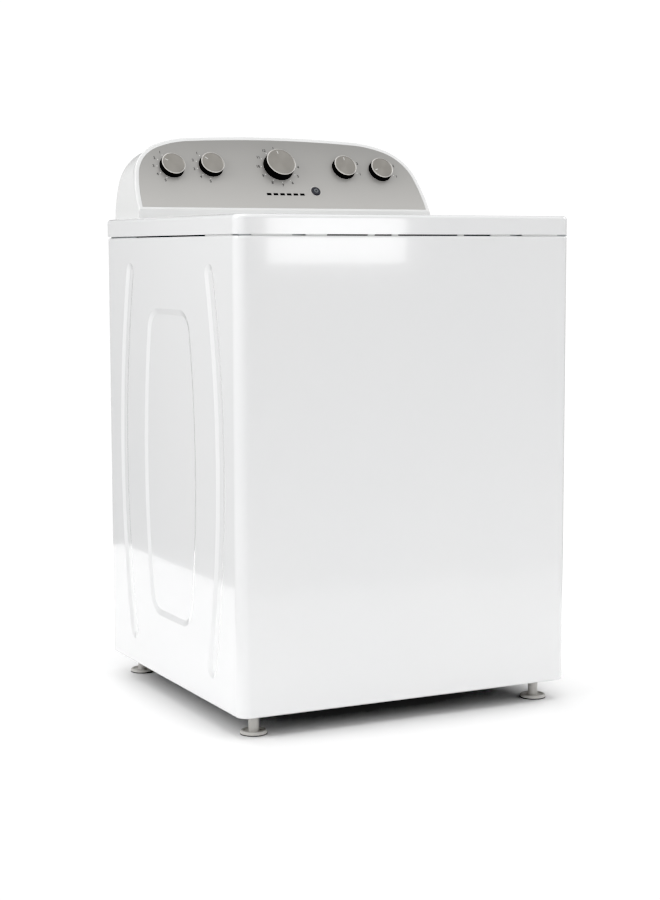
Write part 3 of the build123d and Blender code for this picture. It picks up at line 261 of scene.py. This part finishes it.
def addPiece(name, bm, body, finish, place=Matrix.Identity(4), creaseDegrees=35):
    bmesh.ops.transform(bm, matrix=place, verts=bm.verts)
    mesh = bpy.data.meshes.new(name)
    bm.to_mesh(mesh)
    bm.free()
    mesh.shade_smooth()
    mesh.set_sharp_from_angle(angle=radians(creaseDegrees))
    mesh.materials.append(finishes[finish])
    piece = bpy.data.objects.new(name, mesh)
    bpy.context.scene.collection.objects.link(piece)
    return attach(piece, body) if body else piece


def turnProfile(bm, points, steps, mergeGap=0.01):
    # A closed profile of radius and height, spun round Z
    verts = [bm.verts.new((radius, 0, height)) for radius, height in points]
    edges = [bm.edges.new(pair) for pair in zip(verts, verts[1:] + verts[:1])]
    bmesh.ops.spin(bm, geom=verts + edges, cent=(0, 0, 0), axis=(0, 0, 1), angle=2 * pi, steps=steps,
                   use_merge=True)
    bmesh.ops.remove_doubles(bm, verts=bm.verts, dist=mergeGap * mm)
    bmesh.ops.recalc_face_normals(bm, faces=bm.faces)


def axesAt(joint):
    # Across the fascia, up it and out of it, at a knob's centre
    out = Vector(joint["axis"])
    across = Vector((1, 0, 0))
    turned = Matrix((across, out.cross(across), out)).transposed().to_4x4()
    return Matrix.Translation(joint["pos_m"]) @ turned


# Knob caps: spun face, a rim with a painted highlight and a printed pointer, whose angle is counted from the right
capLook = {"bevelWide": 2.6, "bevelDrop": 1.2, "bevelShare": 0.45, "edgeProud": 0.12, "edgeDeep": 1.6,
           "dish": 0.4, "pointerWide": 1.2, "pointerLong": 7.0, "pointerTall": 0.3, "pointerRound": 0.5,
           "pointerSegments": 3, "pointerIn": 5.0, "steps": 64}
knobs = {
    "left_outer_knob": {"joint": "left_outer_knob_turn", "body": "left_outer_turn", "pointer": 150.0},
    "left_inner_knob": {"joint": "left_inner_knob_turn", "body": "left_inner_turn", "pointer": 140.0},
    "right_inner_knob": {"joint": "right_inner_knob_turn", "body": "right_inner_turn", "pointer": 90.0},
    "right_outer_knob": {"joint": "right_outer_knob_turn", "body": "right_outer_turn", "pointer": 200.0},
    "cycle_dial": {"joint": "dial_turn", "body": "dial", "pointer": 98.0},
}
for nodeName, knob in knobs.items():
    cap = nodes[nodeName + "_cap"].data
    axes = axesAt(joints[knob["joint"]])
    centre = axes.translation
    out = axes.col[2].xyz
    tall = max((corner.co - centre).dot(out) for corner in cap.vertices)
    radius = (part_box(nodeName + "_cap")[1].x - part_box(nodeName + "_cap")[0].x) / 2
    capName = "spunCap" + nodeName.title().replace("_", "")
    # Satin silver cap, turned: rings round the knob's axis, drawn 3 mm apart so that they show
    finishes[capName] = makeFinish(capName, {
        "tones": ("#93908B", "#9E9B96"), "grainMm": 3.14, "rough": (0.3, 0.4), "reliefMm": 0.006,
        "metal": 0.9, "pattern": "rings", "centre": centre, "turn": axes.to_euler(), "axis": out,
        "spun": 0.75})
    cap.materials.clear()
    cap.materials.append(finishes[capName])
    edge = bmesh.new()
    proud = capLook["edgeProud"] * mm
    low = tall - capLook["edgeDeep"] * mm
    bevelEnd = radius - capLook["bevelShare"] * capLook["bevelWide"] * mm
    bevelTop = tall - (1 - capLook["bevelShare"]) * capLook["bevelDrop"] * mm
    turnProfile(edge, [
        (radius + proud, low), (radius + proud, tall - capLook["bevelDrop"] * mm),
        (bevelEnd, bevelTop + proud), (bevelEnd, bevelTop - proud), (radius - proud, low)], capLook["steps"])
    addPiece(nodeName + ".edge", edge, knob["body"], "highlightRing", axes)
    pointer = bmesh.new()
    pointerLong, pointerTall = capLook["pointerLong"] * mm, capLook["pointerTall"] * mm
    bmesh.ops.create_cube(pointer, size=1.0, matrix=Matrix.Diagonal((
        pointerLong, capLook["pointerWide"] * mm, pointerTall, 1)))
    upright = [e for e in pointer.edges if abs(e.verts[0].co.z - e.verts[1].co.z) > pointerTall / 2]
    bmesh.ops.bevel(pointer, geom=upright, offset=capLook["pointerRound"] * mm,
                    segments=capLook["pointerSegments"], profile=0.5, affect="EDGES", material=-1)
    reach = radius - capLook["pointerIn"] * mm - pointerLong / 2
    bmesh.ops.transform(pointer, verts=pointer.verts, matrix=Matrix.Translation((
        reach, 0, tall - capLook["dish"] * mm)))
    bmesh.ops.rotate(pointer, verts=pointer.verts, cent=(0, 0, 0),
                     matrix=Matrix.Rotation(radians(knob["pointer"]), 3, "Z"))
    addPiece(nodeName + ".pointer", pointer, knob["body"], "whiteInk", axes)
print("knobs", len(knobs))

# Printed marks on the fascia: white dots at these angles, with plain numbers outside them.
# A figure is as high as figureShare of its font's size.
markLook = {"dotRadius": 1.1, "dotSides": 14, "dotGap": 5.5, "inkProud": 0.12, "numberHigh": 6.0,
            "numberBold": 0.25, "numberGap": 13.0, "figureShare": 0.7}
marks = {
    "cycle_dial": [90 - 30 * step for step in range(12)],
    "left_outer_knob": [118, 148, 178, 208, 238],
    "left_inner_knob": [128, 160, 192, 224, 256],
    "right_inner_knob": [-20, 20],
    "right_outer_knob": [-20, 20],
}


def addMarks(nodeName, angles):
    axes = axesAt(joints[knobs[nodeName]["joint"]])
    radius = (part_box(nodeName)[1].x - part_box(nodeName)[0].x) / 2
    dots, numbers = bmesh.new(), bmesh.new()
    flatten = Matrix.Diagonal((1, 1, markLook["inkProud"] / markLook["numberBold"], 1))
    for count, angle in enumerate(angles, start=1):
        heading = Vector((cos(radians(angle)), sin(radians(angle)), 0))
        bmesh.ops.create_cone(dots, cap_ends=True, segments=markLook["dotSides"],
                              radius1=markLook["dotRadius"] * mm, radius2=markLook["dotRadius"] * mm,
                              depth=2 * markLook["inkProud"] * mm,
                              matrix=Matrix.Translation(heading * (radius + markLook["dotGap"] * mm)))
        text = bpy.data.curves.new("number", "FONT")
        text.body = str(count)
        text.size = markLook["numberHigh"] * mm / markLook["figureShare"]
        text.align_x, text.align_y = "CENTER", "CENTER"
        text.bevel_depth = markLook["numberBold"] * mm      # thickens the strokes, and is flattened below
        text.bevel_resolution = 0
        figure = bpy.data.objects.new("number", text)
        bpy.context.scene.collection.objects.link(figure)
        bpy.context.view_layer.update()
        mesh = bpy.data.meshes.new_from_object(figure.evaluated_get(bpy.context.evaluated_depsgraph_get()))
        mesh.transform(Matrix.Translation(heading * (radius + markLook["numberGap"] * mm)) @ flatten)
        numbers.from_mesh(mesh)
        bpy.data.objects.remove(figure)
        bpy.data.curves.remove(text)
        bpy.data.meshes.remove(mesh)
    addPiece(nodeName + ".dots", dots, "cabinet", "whiteInk", axes)
    addPiece(nodeName + ".numbers", numbers, "cabinet", "darkInk", axes)


for nodeName, angles in marks.items():
    addMarks(nodeName, angles)
print("fascia marks", sum(len(angles) for angles in marks.values()))

# Start button: a grey ring on the key and a ring of painted highlight on the fascia round it
key = {"haloInner": 11.0, "haloOuter": 12.3, "markInner": 2.6, "markOuter": 4.6, "proud": 0.15, "steps": 48}
keyCorners = [corner.co for corner in nodes["start_button"].data.vertices]
out = Vector(joints["dial_turn"]["axis"])
keyMiddle = sum(keyCorners, Vector()) / len(keyCorners)
faceHeight = (Vector(joints["dial_turn"]["pos_m"]) - keyMiddle).dot(out)
keyAxes = axesAt({"axis": out, "pos_m": keyMiddle + faceHeight * out})
keyTop = max((corner - keyAxes.translation).dot(out) for corner in keyCorners)
halo, mark = bmesh.new(), bmesh.new()
for bm, inner, outer, base in ((halo, key["haloInner"] * mm, key["haloOuter"] * mm, 0.0),
                               (mark, key["markInner"] * mm, key["markOuter"] * mm, keyTop)):
    low, high = base - key["proud"] * mm, base + key["proud"] * mm
    turnProfile(bm, [(inner, low), (inner, high), (outer, high), (outer, low)], key["steps"])
addPiece("start_button.halo", halo, "cabinet", "highlightRing", keyAxes)
addPiece("start_button.mark", mark, "button", "greyMoulding", keyAxes)
print("start button")

# Status windows: a dark printed frame round each
frameLook = {"wide": 0.8, "proud": 0.1, "placesKept": 5}     # ends closer than 0.01 mm count as one
lightSpots = [keyAxes.inverted() @ corner.co for corner in nodes["status_lights"].data.vertices]
lightEnds = sorted({round(spot.x, frameLook["placesKept"]) for spot in lightSpots})
lightLow, lightHigh = min(spot.y for spot in lightSpots), max(spot.y for spot in lightSpots)
frames = bmesh.new()
for left, right in zip(lightEnds[::2], lightEnds[1::2]):
    middle = ((left + right) / 2, (lightLow + lightHigh) / 2, frameLook["proud"] * mm)
    size = [span + 2 * frameLook["wide"] * mm for span in (right - left, lightHigh - lightLow)]
    bmesh.ops.create_grid(frames, x_segments=1, y_segments=1, size=0.5,
                          matrix=Matrix.Translation(middle) @ Matrix.Diagonal((*size, 1, 1)))
bmesh.ops.inset_individual(frames, faces=frames.faces[:], thickness=frameLook["wide"] * mm,
                           use_even_offset=True)
panes = [face for face in frames.faces if all(len(edge.link_faces) == 2 for edge in face.edges)]
bmesh.ops.delete(frames, geom=panes, context="FACES")
bmesh.ops.solidify(frames, geom=frames.faces[:], thickness=frameLook["proud"] * mm)
bmesh.ops.recalc_face_normals(frames, faces=frames.faces)
addPiece("status_lights.frames", frames, "cabinet", "darkInk", keyAxes)
print("status frames", len(panes))

# Suspension springs: one wire wound up each rod, stretched between the rod's seat and the tub
coil = {"wire": 2.6, "mean": 17.0, "turns": 5, "stepsPerTurn": 32, "sides": 12, "rodsFromMiddle": 255.0}
springLow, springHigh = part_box("suspension_springs")
springs = bmesh.new()
rise = springHigh.z - springLow.z - 2 * coil["wire"] * mm
reach = (coil["mean"] + coil["wire"]) * mm
steps = coil["turns"] * coil["stepsPerTurn"]
for x in (springLow.x + reach, springHigh.x - reach):
    for y in (-coil["rodsFromMiddle"] * mm, coil["rodsFromMiddle"] * mm):
        start = Matrix.Translation((x + coil["mean"] * mm, y, springLow.z + coil["wire"] * mm))
        wire = bmesh.ops.create_circle(springs, segments=coil["sides"], radius=coil["wire"] * mm,
                                       matrix=start @ Matrix.Rotation(radians(90), 4, "X"))["verts"]
        loop = list({edge for vert in wire for edge in vert.link_edges})
        bmesh.ops.spin(springs, geom=wire + loop, cent=(x, y, 0), axis=(0, 0, 1), dvec=(0, 0, rise / steps),
                       angle=2 * pi * coil["turns"], steps=steps)
bmesh.ops.holes_fill(springs, edges=[edge for edge in springs.edges if edge.is_boundary])
bmesh.ops.recalc_face_normals(springs, faces=springs.faces)
springPiece = addPiece("suspensionCoils", springs, None, "springSteel")
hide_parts("suspension_springs")
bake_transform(springPiece)
print("springs", coil["turns"], "turns")

# Wash basket: staggered rows of drain holes, shown as dark discs of painted shade on the inside of the wall
holes = {"radius": 1.9, "columns": 72, "rows": 15, "lowGap": 62.0, "highGap": 26.0, "sides": 8,
         "sheet": 1.0, "deep": 0.3}
wallLow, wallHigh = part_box("basket_wall")
wallInside = (wallHigh.x - wallLow.x) / 2 - holes["sheet"] * mm
lowRow, highRow = wallLow.z + holes["lowGap"] * mm, wallHigh.z - holes["highGap"] * mm
drainHoles = bmesh.new()
for row in range(holes["rows"]):
    z = lowRow + (highRow - lowRow) * row / (holes["rows"] - 1)
    for column in range(holes["columns"]):
        angle = 2 * pi * (column + (row % 2) / 2) / holes["columns"]
        spot = Matrix.Rotation(angle, 4, "Z") @ Matrix.Translation((wallInside, 0, z))
        bmesh.ops.create_cone(drainHoles, cap_ends=True, segments=holes["sides"],
                              radius1=holes["radius"] * mm, radius2=holes["radius"] * mm,
                              depth=holes["deep"] * mm, matrix=spot @ Matrix.Rotation(radians(90), 4, "Y"))
addPiece("basketHoles", drainHoles, "basket", "holeShade")
print("basket holes", holes["rows"] * holes["columns"])

# Seam between the cabinet and the top: white spacers at the corners and the front, black strips of painted shade
# between them
seam = {"spacerIn": 3.0, "spacerDeep": 2.8, "shadeStripIn": 6.5, "shadeStripDeep": 3.0, "tall": 2.2, "low": 0.1,
        "pads": ((-88.5, -75.5), (-39.5, -26.5), (99.5, 112.5)),
        "frontSpacers": ((-320.0, -241.0), (-214.0, -172.0), (172.0, 214.0), (241.0, 320.0)),
        "sideSpacers": (-300.0, -180.0), "shadeStripFront": (-172.0, 172.0), "shadeStripSide": (-180.0, 320.0)}
shellLow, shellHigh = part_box("cabinet_shell")
seamLevel = (shellHigh.z + seam["low"] * mm, shellHigh.z + seam["tall"] * mm)


def addBar(bm, xSpan, ySpan, zSpan):
    middle = [(low + high) / 2 for low, high in (xSpan, ySpan, zSpan)]
    size = [high - low for low, high in (xSpan, ySpan, zSpan)]
    bmesh.ops.create_cube(bm, size=1.0, matrix=Matrix.Translation(middle) @ Matrix.Diagonal((*size, 1)))


def frontBar(bm, span, inset, deep):
    front = shellLow.y + inset * mm
    addBar(bm, [edge * mm for edge in span], (front, front + deep * mm), seamLevel)


def sideBars(bm, span, inset, deep):
    for side in (shellLow.x + inset * mm, shellHigh.x - (inset + deep) * mm):
        addBar(bm, (side, side + deep * mm), [edge * mm for edge in span], seamLevel)


spacers, shadeStrips = bmesh.new(), bmesh.new()
for span in seam["pads"] + seam["frontSpacers"]:
    frontBar(spacers, span, seam["spacerIn"], seam["spacerDeep"])
sideBars(spacers, seam["sideSpacers"], seam["spacerIn"], seam["spacerDeep"])
frontBar(shadeStrips, seam["shadeStripFront"], seam["shadeStripIn"], seam["shadeStripDeep"])
sideBars(shadeStrips, seam["shadeStripSide"], seam["shadeStripIn"], seam["shadeStripDeep"])
addPiece("seamSpacers", spacers, "cabinet", "whiteMoulding")
addPiece("seamShadeStrip", shadeStrips, "cabinet", "seamShadeBlack")
print("seam")

# Feet: a black band of painted contact shade round the lower edge of each disc
contactShade = {"tall": 1.8, "proud": 0.2, "deep": 1.0, "steps": 64}
for corner in ("front_left", "front_right", "rear_left", "rear_right"):
    footLow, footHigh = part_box(corner + "_foot")
    radius = (footHigh.x - footLow.x) / 2
    inner, outer = radius - contactShade["deep"] * mm, radius + contactShade["proud"] * mm
    band = bmesh.new()
    turnProfile(band, [(inner, 0.0), (outer, 0.0), (outer, contactShade["tall"] * mm), (inner, contactShade["tall"] * mm)],
                contactShade["steps"])
    addPiece(corner + "_foot.tread", band, corner + "_leveller", "blackRubber",
             Matrix.Translation(((footLow.x + footHigh.x) / 2, (footLow.y + footHigh.y) / 2, 0)))
print("feet")

# Rear: hex flange screws that hold the rear panel and the console's cover
screw = {"flange": 5.0, "flangeTall": 0.8, "flangeSides": 20, "hex": 3.7, "hexTop": 3.4, "hexTall": 1.7,
         "hexSides": 6, "edgeIn": 9.0, "panelLevels": (95.0, 285.0, 475.0, 665.0, 855.0),
         "panelAcross": (-210.0, 0.0, 210.0), "panelRows": (60.0, 880.0),
         "coverSpots": ((-316.0, 956.0), (-110.0, 956.0), (110.0, 956.0), (316.0, 956.0), (-150.0, 1088.0),
                        (150.0, 1088.0))}
panelLow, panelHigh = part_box("rear_panel")
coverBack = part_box("console_rear_cover")[1].y
sideEdges = (panelLow.x + screw["edgeIn"] * mm, panelHigh.x - screw["edgeIn"] * mm)
screwSpots = [(x, panelHigh.y, level * mm) for x in sideEdges for level in screw["panelLevels"]]
screwSpots += [(x * mm, panelHigh.y, row * mm) for x in screw["panelAcross"] for row in screw["panelRows"]]
screwSpots += [(x * mm, coverBack, z * mm) for x, z in screw["coverSpots"]]
flangeTall, hexTall = screw["flangeTall"] * mm, screw["hexTall"] * mm
screws = bmesh.new()
for spot in screwSpots:
    backwards = Matrix.Translation(spot) @ Matrix.Rotation(radians(-90), 4, "X")
    bmesh.ops.create_cone(screws, cap_ends=True, segments=screw["flangeSides"], radius1=screw["flange"] * mm,
                          radius2=screw["hex"] * mm, depth=flangeTall,
                          matrix=backwards @ Matrix.Translation((0, 0, flangeTall / 2)))
    bmesh.ops.create_cone(screws, cap_ends=True, segments=screw["hexSides"], radius1=screw["hex"] * mm,
                          radius2=screw["hexTop"] * mm, depth=hexTall,
                          matrix=backwards @ Matrix.Translation((0, 0, flangeTall + hexTall / 2)))
addPiece("rearScrews", screws, "cabinet", "zincRod", creaseDegrees=25)
print("rear screws", len(screwSpots))

# Studio: a white paper floor that ends a little way left of the machine, so its edge shows in the enamel
studio = {"floorLow": (-0.95, -1.6), "floorHigh": (1.35, 1.9), "floorLevel": -0.0002, "surround": "#FFFFFF",
          "surroundSeen": 1.05, "surroundPower": 0.66, "darkEnd": (0.26, 0.966, 0.0),
          "darkSpread": (0.36, 0.98), "darkShare": 0.2}
# Matt white background paper: even and without shine
paper = {"tones": ("#FAFAFA", "#FCFCFC"), "grainMm": 3.0, "cloudMm": 900.0, "rough": (0.85, 0.95),
         "reliefMm": 0.01}
floorSpan = [high - low for low, high in zip(studio["floorLow"], studio["floorHigh"])]
floorMiddle = [(high + low) / 2 for low, high in zip(studio["floorLow"], studio["floorHigh"])]
floorPlace = Matrix.Translation((*floorMiddle, studio["floorLevel"]))
floorMesh = bmesh.new()
bmesh.ops.create_grid(floorMesh, x_segments=1, y_segments=1, size=0.5,
                      matrix=floorPlace @ Matrix.Diagonal((*floorSpan, 1, 1)))
floorData = bpy.data.meshes.new("studioFloor")
floorMesh.to_mesh(floorData)
floorMesh.free()
floorData.materials.append(makeFinish("paperFloor", paper))
floor = bpy.data.objects.new("studioFloor", floorData)
bpy.context.scene.collection.objects.link(floor)

# Surround: a white tent, open and dark at the rear end
world = bpy.data.worlds.new("studioSurround")
bpy.context.scene.world = world
world.use_nodes = True
sky = world.node_tree
surround = sky.nodes["Background"]
surround.inputs["Color"].default_value = linear(studio["surround"])
seen = addNode(sky, "ShaderNodeLightPath")
towards = addNode(sky, "ShaderNodeTexCoord")
near = addNode(sky, "ShaderNodeVectorMath", {0: towards.outputs["Generated"], 1: studio["darkEnd"]},
               operation="DOT_PRODUCT")
tent = addNode(sky, "ShaderNodeMapRange", {
    "Value": near.outputs["Value"], "From Min": studio["darkSpread"][0],
    "From Max": studio["darkSpread"][1], "To Min": studio["surroundPower"],
    "To Max": studio["darkShare"] * studio["surroundPower"]})
power = addNode(sky, "ShaderNodeMapRange", {
    "Value": seen.outputs["Is Camera Ray"], "To Min": tent.outputs["Result"],
    "To Max": studio["surroundSeen"]})
sky.links.new(power.outputs["Result"], surround.inputs["Strength"])

# Lamps: the rear bank whitens the floor, unmirrored so that it doesn't flare on the console's white end
lamps = {
    "overhead": {"place": (0.35, 0.6, 4.0), "aim": (0.35, 0.6, 0.0), "size": (4.4, 4.4), "power": 13.0,
                 "spread": 90.0},
    "floorBank": {"place": (-0.1, -1.45, 2.9), "aim": (-0.1, -1.15, 0.0), "size": (3.4, 0.6), "power": 4.0,
                  "spread": 58.0},
    "leftBank": {"place": (-2.6, -0.2, 2.15), "aim": (-0.35, -0.35, 1.5), "size": (1.6, 1.9), "power": 13.0,
                 "spread": 100.0},
    "rightBank": {"place": (2.7, 0.5, 2.0), "aim": (0.9, 0.4, 0.5), "size": (2.4, 1.2), "power": 5.2,
                  "spread": 100.0},
    "rearBank": {"place": (-0.1, 3.7, 2.0), "aim": (-0.1, 1.2, 0.4), "size": (3.2, 1.2), "power": 28.0,
                 "spread": 100.0, "mirrored": False},
    "frontBank": {"place": (0.6, -3.4, 3.3), "aim": (0.15, -0.33, 2.2), "size": (2.4, 1.4), "power": 4.0,
                  "spread": 85.0},
    "frontSoftbox": {"place": (2.22, -5.0, 1.35), "aim": (0.0, -0.33, 0.9), "size": (0.65, 1.05),
                     "power": 7.6, "spread": 180.0},
}
for name, lamp in lamps.items():
    data = bpy.data.lights.new(name, "AREA")
    data.shape = "RECTANGLE"
    data.size, data.size_y = lamp["size"]
    data.energy = lamp["power"]
    data.spread = radians(lamp["spread"])
    shine = Vector(lamp["aim"]) - Vector(lamp["place"])
    lampObject = bpy.data.objects.new(name, data)
    lampObject.location = lamp["place"]
    lampObject.rotation_euler = shine.to_track_quat("-Z", "Y").to_euler()
    lampObject.visible_glossy = lamp.get("mirrored", True)
    bpy.context.scene.collection.objects.link(lampObject)
print("lamps", len(lamps))

# Tone of the print: a short toe that deepens the blacks and leaves the whites alone
toe = {"curve": 3, "points": ((0.05, 0.008), (0.12, 0.105), (0.3, 0.3))}     # curve 3 is of all colours
bpy.context.scene.view_settings.view_transform = "Standard"
bpy.context.scene.view_settings.use_curve_mapping = True
tones = bpy.context.scene.view_settings.curve_mapping
for spot in toe["points"]:
    tones.curves[toe["curve"]].points.new(*spot)
for point in tones.curves[toe["curve"]].points:
    point.handle_type = "VECTOR"
tones.update()

# Camera, worked out from the cabinet's edges and feet in the photograph.
# Its angles are in degrees, its lens and sensor in millimetres.
view = {"place": (-1.6474, -3.2677, 0.8747), "yaw": 26.720, "pitch": -6.158, "roll": -0.130, "lens": 73.01,
        "sensor": 36.0}
camera = bpy.data.objects.new("photoCamera", bpy.data.cameras.new("photoCamera"))
bpy.context.scene.collection.objects.link(camera)
yaw, pitch, roll = (radians(view[turn]) for turn in ("yaw", "pitch", "roll"))
ahead = Vector((sin(yaw) * cos(pitch), cos(yaw) * cos(pitch), sin(pitch)))
levelRight = Vector((cos(yaw), -sin(yaw), 0.0))
levelUp = levelRight.cross(ahead)
right = cos(roll) * levelRight + sin(roll) * levelUp
upward = cos(roll) * levelUp - sin(roll) * levelRight
facing = Matrix((right, upward, -ahead)).transposed().to_4x4()
camera.matrix_world = Matrix.Translation(view["place"]) @ facing
camera.data.lens = view["lens"]
camera.data.sensor_width = view["sensor"]
bpy.context.scene.camera = camera
print("camera")
